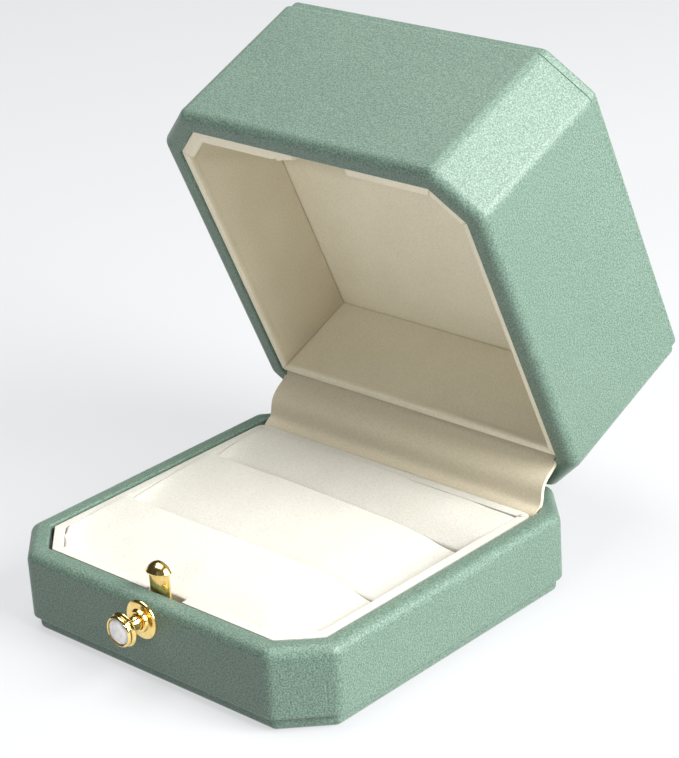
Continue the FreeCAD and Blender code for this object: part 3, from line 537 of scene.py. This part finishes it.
# %% Give each node of the frame its finish
SLOT_FINISH = {
    "green_leatherette": leatherette,
    "ivory_velvet": velvet,
    "hinge_satin": ribbon_cloth,
    "gold": gold,
    "clear_crystal": crystal,
    "hinge_steel": steel,
    "shell_plastic": plastic,
    "grey_board": board,
}
for entry in frame["record"]["subparts"]:
    node = frame["nodes"][entry["node"]]
    for k in range(len(node.material_slots)):
        node.material_slots[k].material = SLOT_FINISH[entry["material_slot"]]

# %% [markdown]
# ## The three ring pads
#
# Each pad is a bar of foam in velvet. Its top rises from a low front edge to a crest, and the ring
# slides in behind the crest. At the right end the cloth is pulled down harder, so the crests sink
# there and the slots fade out. At the left end it is stretched and falls less. We start with a
# block, cut it into rows and columns, lower each crossing by how far the cloth falls there, and
# let a subdivision surface round the foam.

# %% Shape a pad
PAD_COLUMNS = [-31.05, -29.2, -24, -14, -4.4, -3.2, 0, 3.2, 4.4, 12, 18, 22, 25, 27.5, 29.3, 30.7]
PAD_ROWS = [(0.0, 2.9), (0.05, 2.6), (0.16, 2.0), (0.38, 1.05), (0.62, 0.4),
            (0.82, 0.05), (0.93, 0.0), (0.98, 0.25), (1.0, 1.0)]
FRONT_CORNER = 4.7 * MM
END_DROP = 0.15
END_REACH = 0.4
LEFT_END_SHARE = 0.45
LEFT_END = -31 * MM


def sink(across, amounts):
    """How far the crest has sunk at a place across the box, between stated places."""
    for (left, first), (right_end, second) in zip(amounts, amounts[1:]):
        if left <= across <= right_end:
            return first + (second - first) * (across - left) / (right_end - left)
    return amounts[0][1] if across < amounts[0][0] else amounts[-1][1]


def shape_pad(name, node, amounts, bevelled_front):
    """A velvet pad in the space of its node, with its crest sinking by the stated amounts."""
    low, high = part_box(node)
    depth = high.y - low.y
    pad = block(name, low, high)
    if bevelled_front:
        front_corner = lambda a, b: abs(a.z - b.z) > TINY and max(a.y, b.y) < low.y + TINY
        bevel_edges(pad, front_corner, FRONT_CORNER)
    cut_across(pad, 0, [column * MM for column in PAD_COLUMNS])
    cut_across(pad, 1, [low.y + share * depth for share, fall in PAD_ROWS[1:-1]])
    cut_across(pad, 2, [low.z + 0.6 * MM, low.z + 3.5 * MM])
    columns = [low.x / MM] + PAD_COLUMNS + [high.x / MM]
    for share, fall in PAD_ROWS:
        row = low.y + share * depth
        for column in columns:
            share_here = LEFT_END_SHARE if column * MM < LEFT_END else 1.0
            drop = max(fall * share_here, sink(column, amounts))
            drop += END_DROP * math.exp(-(high.x / MM - abs(column)) / END_REACH)
            here = Vector((column * MM, row, high.z))
            shift(pad, lambda corner: (corner - here).length < 3 * TINY, (0, 0, -drop * MM))
    return pad


FRONT_SINK = [(-32, 0.1), (8, 0.15), (14, 0.4), (19, 0.8), (23, 1.6), (27, 2.9), (30, 3.2),
              (32.5, 3.3)]
MIDDLE_SINK = [(-32, 0.0), (-10, 0.2), (2.6, 0.7), (15.6, 1.2), (21, 1.8), (25, 2.7), (29, 3.1),
               (32.5, 3.3)]
REAR_SINK = [(-32, 0.0), (0, 0.2), (20, 0.5), (32.5, 0.9)]

front_pad = shape_pad("front_ring_pad", "ring_pad_front", FRONT_SINK, True)
middle_pad = shape_pad("middle_ring_pad", "ring_pad_middle", MIDDLE_SINK, False)
rear_pad = shape_pad("rear_ring_pad", "ring_pad_rear", REAR_SINK, False)
print("pads cut and sunk")

# %% [markdown]
# The hook needs room behind it when the button is pressed, so the front pad is pinched back where
# the hook stands. Then all three pads are softened, and a faint ripple stands for hand-pulled
# cloth.

# %% Pinch and soften the pads
pad_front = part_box("ring_pad_front")[0].y
for depth, pinch in ((0.0, 1.1), (1.05, 0.6)):
    row = pad_front + depth * MM
    shift(front_pad, lambda corner: abs(corner.x) < 3.3 * MM and abs(corner.y - row) < 0.3 * MM,
          (0, pinch * MM, 0))
for pad, node in ((front_pad, "ring_pad_front"), (middle_pad, "ring_pad_middle"),
                  (rear_pad, "ring_pad_rear")):
    soften(pad, 3)
    ripple(pad, 0.22 * MM, 7 * MM)
    close_up(pad, 60)
    finished(pad, "base", "ivory_velvet", velvet, node)

# %% [markdown]
# ## The velvet lip
#
# A card strip covered in velvet stands all round the pads and looks like a thin pale frame inside
# the green rim. It is open at the front, where the hook comes up. A plane gives its outline: two
# corners are bevelled, the other two are rounded, and the face is deleted so only the outline is
# left. The outline is extruded upwards, split for the hook, thickened and rounded.

# %% Shape the lip
LIP_CORNER = 6.2 * MM
LIP_THICKNESS = 1.9 * MM
HOOK_GAP = (-2.9 * MM, 5.65 * MM)
lip_low, lip_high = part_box("insert_lip")
lip_size = lip_high - lip_low
bpy.ops.object.select_all(action="DESELECT")
bpy.ops.mesh.primitive_plane_add(size=1, location=(0, (lip_low.y + lip_high.y) / 2, lip_low.z))
lip = bpy.context.object
lip.name = "velvet_lip"
lip.scale = (lip_size.x, lip_size.y, 1)
settle(lip)
pick(lip, lambda corner: corner.y < 0)
bpy.ops.mesh.bevel(affect="VERTICES", offset=LIP_CORNER, segments=1)
bpy.ops.object.mode_set(mode="OBJECT")
pick(lip, lambda corner: corner.y > lip_high.y - TINY)
bpy.ops.mesh.bevel(affect="VERTICES", offset=1.6 * MM, segments=4)
bpy.ops.mesh.select_all(action="SELECT")
bpy.ops.mesh.delete(type="ONLY_FACE")
bpy.ops.mesh.select_all(action="SELECT")
bpy.ops.mesh.extrude_region_move(TRANSFORM_OT_translate={"value": (0, 0, lip_size.z)})
bpy.ops.object.mode_set(mode="OBJECT")
cut_across(lip, 0, HOOK_GAP)
pick(lip, lambda centre, normal: HOOK_GAP[0] < centre.x < HOOK_GAP[1] and centre.y < 0, "FACE")
bpy.ops.mesh.delete(type="FACE")
bpy.ops.object.mode_set(mode="OBJECT")
close_up(lip)
print("lip outline has", len(lip.data.vertices), "corners")

# %% Thicken and round the lip
apply_modifier(lip, "SOLIDIFY", thickness=LIP_THICKNESS, offset=-1, use_even_offset=True)
apply_modifier(lip, "BEVEL", width=0.6 * MM, segments=4, limit_method="ANGLE",
               angle_limit=math.radians(50))
close_up(lip, 50)
finished(lip, "base", "ivory_velvet", velvet, "insert_lip")

# %% [markdown]
# ## The lining of the lid
#
# Seven velvet cards line the lid: a ceiling, four walls and two narrow cards in the bevelled front
# corners. They meet in mitres, which show as fine lines. Each wall card is modelled lying along
# the X axis with its inner face towards +Y, gets a soft lip at the mouth of the lid, and is then
# stood in its place by one matrix.

# %% Shape one wall card
CARD = 1.05 * MM
NOTCH_DEPTH = 5.2 * MM
TUCK_PLACE = 5.4
LIP_LEVELS = [(0.0, 0.7), (0.3, 0.95), (0.7, 1.0), (1.1, 0.8), (1.6, 0.35), (2.1, 0.08), (4.2, 0.0)]


def wall_card(name, start, finish, mitres, lip, notch=None):
    """A lining card between two outer corners, with mitred ends and a padded lip at the mouth."""
    run = Vector(finish) - Vector(start)
    length = run.length
    card = block(name, (0, 0, LINER_LOW), (length, CARD, LINER_HIGH - 0.05 * MM))
    cut_across(card, 2, [LINER_LOW + rise * MM for rise, share in LIP_LEVELS[1:]])
    if notch:
        edges = [notch[0] - 0.3 * MM, notch[0] + 0.3 * MM, notch[1] - 0.3 * MM, notch[1] + 0.3 * MM]
        beside = [notch[0] - part * MM for part in (6.1, TUCK_PLACE, 4.7, 3.6, 1.8)]
        cut_across(card, 0, edges + beside)
    for rise, share in LIP_LEVELS:
        level = LINER_LOW + rise * MM
        bulge = (lip - CARD) * share
        inner = lambda corner: abs(corner.z - level) < TINY and corner.y > CARD / 2
        shift(card, inner, (0, bulge, 0))
        for end, side, slope in ((0, 1, mitres[0]), (length, -1, mitres[1])):
            at_end = lambda corner: inner(corner) and abs(corner.x - end) < TINY
            shift(card, at_end, (side * slope * (CARD + bulge), 0, 0))
    for end, side, slope in ((0, 1, mitres[0]), (length, -1, mitres[1])):
        top_end = lambda corner: (corner.z > LINER_HIGH - 1 * MM and corner.y > CARD / 2
                                  and abs(corner.x - end) < TINY)
        shift(card, top_end, (side * slope * CARD, 0, 0))
    if notch:
        in_notch = lambda corner: (notch[0] < corner.x < notch[1]
                                   and corner.z < LINER_LOW + 4.3 * MM)
        shift(card, in_notch, (0, 0, NOTCH_DEPTH))
        pucker = lambda corner: (abs(corner.x - notch[0] + TUCK_PLACE * MM) < TINY
                                 and corner.z < LINER_LOW + 0.6 * MM)
        shift(card, pucker, (0, 0, 0.6 * MM))
        for place, slack in ((-3.6, 0.3), (-1.8, 0.55), (-0.3, 0.8)):
            rolled = lambda corner: (abs(corner.x - notch[0] - place * MM) < TINY
                                     and corner.y > CARD + 0.2 * MM)
            shift(card, rolled, (0, -slack * (lip - CARD), 0))
        beyond = lambda corner: corner.x > notch[1] and corner.y > CARD + 0.2 * MM
        shift(card, beyond, (0, -0.4 * (lip - CARD), 0))
    apply_modifier(card, "BEVEL", width=0.3 * MM, segments=3, limit_method="ANGLE",
                   angle_limit=math.radians(25))
    direction = math.atan2(run.y, run.x)
    card.matrix_world = OPEN_LID @ Matrix.Translation((start[0], start[1], 0)) @ Matrix.Rotation(
        direction, 4, "Z")
    settle(card)
    close_up(card, 50)
    return card


# %% [markdown]
# The cards run round the mouth of the lid one after another, with the inside of the lid always on
# their left. The front card is thicker at its lip and has a notch where the hook comes in, and its
# velvet is tucked in and rolled thin beside the notch.

# %% Stand the wall cards in the lid
LINE = 4.03 * MM
side = BOX_HALF - LINE
flat = flat_half(LINE)
rear = 27.5 * MM
NARROW = FLAT_SHARE
SQUARE = 1.0
WALLS = [
    ("lining_front", "lid_liner_front", (-flat, -side), (flat, -side), (NARROW, NARROW), 2.5 * MM,
     (flat - 3.2 * MM, flat + 8.5 * MM)),
    ("lining_corner_right", "lid_liner_corner_right", (flat, -side), (side, -flat),
     (NARROW, NARROW), 1.7 * MM, None),
    ("lining_right", "lid_liner_right", (side, -flat), (side, rear),
     (NARROW, SQUARE), 1.35 * MM, None),
    ("lining_rear", "lid_liner_rear", (side, rear), (-side, rear),
     (SQUARE, SQUARE), 1.6 * MM, None),
    ("lining_left", "lid_liner_left", (-side, rear), (-side, -flat),
     (SQUARE, NARROW), 1.35 * MM, None),
    ("lining_corner_left", "lid_liner_corner_left", (-side, -flat), (-flat, -side),
     (NARROW, NARROW), 2.5 * MM, None),
]
# The wall cards wear the lid's copy of the velvet, painted lighter and warmer for the bounce light
# inside the lid.
for name, node, start, finish, mitres, lip_width, notch in WALLS:
    card = wall_card(name, start, finish, mitres, lip_width, notch)
    finished(card, "lid", "ivory_velvet", lid_velvet_painted_warm_light, node)

# %% [markdown]
# The ceiling is the largest velvet face of all. It is one card with two bevelled corners, crowned
# by a fraction of a millimetre, because velvet over thin foam is never dead flat.

# %% Lay the ceiling
ceiling = block("lining_ceiling", (-side, -side, LINER_HIGH), (side, rear, LINER_HIGH + 1.0 * MM))
bevel_edges(ceiling, lambda a, b: abs(a.z - b.z) > TINY and max(a.y, b.y) < -side + TINY, 5.9 * MM)
cut_across(ceiling, 0, [place * MM for place in (-31, -24, -8, 8, 24, 31)])
cut_across(ceiling, 1, [place * MM for place in (-31, -24, -8, 8, 20, 25.5)])
shift(ceiling, lambda corner: corner.z < LINER_HIGH + TINY and abs(corner.x) < 25 * MM
      and -25 * MM < corner.y < 21 * MM, (0, 0, -0.3 * MM))
apply_modifier(ceiling, "BEVEL", width=0.25 * MM, segments=2, limit_method="ANGLE",
               angle_limit=math.radians(40))
soften(ceiling, 1)
ceiling.matrix_world = OPEN_LID
settle(ceiling)
close_up(ceiling, 50)
# The ceiling wears the lid's copy of the velvet, painted lighter and warmer for the bounce light
# inside the lid.
finished(ceiling, "lid", "ivory_velvet", lid_velvet_painted_warm_light, "lid_liner_ceiling")

# %% [markdown]
# ## The ribbon over the hinge
#
# A strip of ribbon hides the hinge. It comes up behind the pads, bows out in a soft S over the
# gap, and goes in behind the lid's rear card. We draw its profile as a chain of corners, extrude
# that chain sideways into a sheet, and smooth it.

# %% Draw and extrude the ribbon
RIBBON_PROFILE = [(26.9, 11.0), (26.9, 13.8), (27.4, 14.8), (28.6, 15.3), (29.3, 16.2),
                  (29.5, 17.6), (29.8, 19.4), (31.4, 20.9), (33.4, 22.0), (33.9, 23.2),
                  (35.0, 24.2), (36.6, 24.95)]
RIBBON_THICKNESS = 0.75 * MM
RIBBON_HALF = 33.2 * MM
ribbon = chain("hinge_ribbon", [Vector((-RIBBON_HALF, y * MM, z * MM)) for y, z in RIBBON_PROFILE])
pick(ribbon, lambda corner: True)
bpy.ops.mesh.extrude_region_move(TRANSFORM_OT_translate={"value": (2 * RIBBON_HALF, 0, 0)})
bpy.ops.object.mode_set(mode="OBJECT")
cut_across(ribbon, 0, [place * MM for place in (-32.6, -30, -20, -10, 0, 10, 20, 30, 32.6)])
soften(ribbon, 3)
ripple(ribbon, 0.25 * MM, 9 * MM)
apply_modifier(ribbon, "SOLIDIFY", thickness=RIBBON_THICKNESS, offset=0)
apply_modifier(ribbon, "BEVEL", width=0.3 * MM, segments=2, limit_method="ANGLE",
               angle_limit=math.radians(50))
close_up(ribbon, 60)
ribbon.data.materials.clear()
ribbon.data.materials.append(ribbon_cloth)
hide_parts("hinge_cover")
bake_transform(ribbon)

# %% [markdown]
# ## The button
#
# The button is three turned pieces and a stone. On a lathe the tool follows a profile while the
# work spins, and Spin does the same: we draw each profile as a chain, in distance along the axis
# and radius, and turn it about the button's own axis.

# %% Turn the flange, stem and bezel
BUTTON_AXIS = Vector((0, 0, 12.0 * MM))


def turn_on_button_axis(name, profile, ring, steps=64):
    """A turned piece from its profile of depth and radius; a ring's profile closes on itself."""
    points = [Vector((0, y * MM, BUTTON_AXIS.z + radius * MM)) for y, radius in profile]
    piece = chain(name, points)
    if ring:
        close_chain(piece)
    spin_round(piece, BUTTON_AXIS, (0, 1, 0), steps)
    return piece


flange = turn_on_button_axis("button_flange", [
    (-37.45, 2.2), (-37.45, 3.5), (-37.6, 3.6), (-37.8, 3.55), (-37.98, 3.3), (-38.08, 2.9),
    (-38.1, 2.45), (-38.12, 2.2), (-38.35, 2.12), (-38.62, 2.0), (-38.74, 1.8), (-38.72, 1.55),
    (-38.55, 1.4), (-34.72, 1.4), (-34.72, 2.2)], True)
finished(flange, "base", "gold", gold, "latch_escutcheon")

stem = turn_on_button_axis("button_post", [
    (-41.6, 0.01), (-41.6, 1.3), (-41.1, 1.34), (-40.85, 1.22), (-40.4, 1.14), (-39.9, 1.14),
    (-39.5, 1.24), (-39.2, 1.3), (-34.9, 1.3), (-34.2, 1.1), (-33.52, 0.45), (-33.52, 0.01)], False)
finished(stem, "button", "gold", gold, "button_stem")

bezel = turn_on_button_axis("button_setting", [
    (-42.25, 0.01), (-42.25, 2.32), (-42.9, 2.35), (-43.12, 2.42), (-43.2, 2.54), (-43.12, 2.7),
    (-42.9, 2.82), (-42.55, 2.86), (-42.35, 2.8), (-42.28, 2.74), (-42.2, 2.82), (-42.05, 3.04),
    (-41.85, 3.12), (-41.65, 3.06), (-41.45, 2.82), (-41.3, 2.42), (-41.22, 1.9), (-41.2, 1.36),
    (-41.62, 1.33), (-41.62, 0.01)], False)
finished(bezel, "button", "gold", gold, "button_bezel")

# %% [markdown]
# The stone is cut with a flat table and a ring of slanting facets. A short cylinder lies on its
# side with its front face inset and pulled forward. Its faces stay flat shaded, because a crystal
# shows every facet.

# %% Cut the crystal
bpy.ops.object.select_all(action="DESELECT")
bpy.ops.mesh.primitive_cylinder_add(vertices=14, radius=2.32 * MM, depth=0.75 * MM,
                                    location=(0, -42.62 * MM, BUTTON_AXIS.z),
                                    rotation=(math.radians(90), 0, 0))
stone = bpy.context.object
stone.name = "button_stone"
settle(stone)
pick(stone, lambda centre, normal: normal.y < -0.9, "FACE")
bpy.ops.mesh.inset(thickness=0.5 * MM, depth=0.3 * MM)
bpy.ops.mesh.inset(thickness=0.45 * MM, depth=0.12 * MM)
bpy.ops.object.mode_set(mode="OBJECT")
pick(stone, lambda centre, normal: centre.y < -43.0 * MM and normal.y > -0.99, "FACE")
bpy.ops.mesh.quads_convert_to_tris(quad_method="FIXED")
bpy.ops.object.mode_set(mode="OBJECT")
finished(stone, "button", "clear_crystal", crystal, "button_crystal")
print("stone reaches", round(min(v.co.y for v in stone.data.vertices) / MM, 2), "mm")

# %% [markdown]
# ## The hook
#
# The hook is a pressed strip with a bowed front, and a head like half a bullet whose rim stands
# out over the strip. That rim is what holds the lid. The head is turned about an upright axis,
# flattened from front to back, and sliced off flat behind.

# %% Shape the hook's strip
HOOK_FACE = -33.4
hook = block("catch_hook", (-2.4 * MM, HOOK_FACE * MM, 5.6 * MM), (2.4 * MM, -32.5 * MM, 19.2 * MM))
cut_across(hook, 0, [place * MM for place in (-2.0, -1.2, 0, 1.2, 2.0)])
for place, bow in ((2.4, 0.4), (2.0, 0.2), (1.2, 0.06)):
    shift(hook, lambda corner: abs(abs(corner.x) - place * MM) < TINY
          and corner.y < (HOOK_FACE + 0.1) * MM, (0, bow * MM, 0))
apply_modifier(hook, "BEVEL", width=0.12 * MM, segments=3, limit_method="ANGLE",
               angle_limit=math.radians(50))
close_up(hook, 35)

# %% Turn and slice the hook's head
HEAD_MIDDLE = Vector((0, -32.6 * MM, 0))
head_profile = [(0.01, 19.0), (1.9, 19.0), (2.45, 19.03), (2.6, 19.15), (2.6, 19.33), (2.5, 19.45),
                (2.35, 19.65), (2.05, 20.05), (1.55, 20.45), (0.9, 20.78), (0.01, 20.9)]
head = chain("hook_head", [HEAD_MIDDLE + Vector((x * MM, 0, z * MM)) for x, z in head_profile])
spin_round(head, HEAD_MIDDLE, (0, 0, 1), 56)
pick(head, lambda corner: True)
bpy.ops.mesh.bisect(plane_co=HEAD_MIDDLE + Vector((0, 0.6 * MM, 0)), plane_no=(0, 1, 0),
                    use_fill=True, clear_outer=True)
bpy.ops.mesh.select_all(action="SELECT")
bpy.ops.transform.resize(value=(1, 0.79, 1), center_override=HEAD_MIDDLE)
bpy.ops.object.mode_set(mode="OBJECT")
close_up(head, 35)
make_active(hook)
head.select_set(True)
bpy.ops.object.join()
finished(hook, "hook", "gold", gold, "latch_hook")
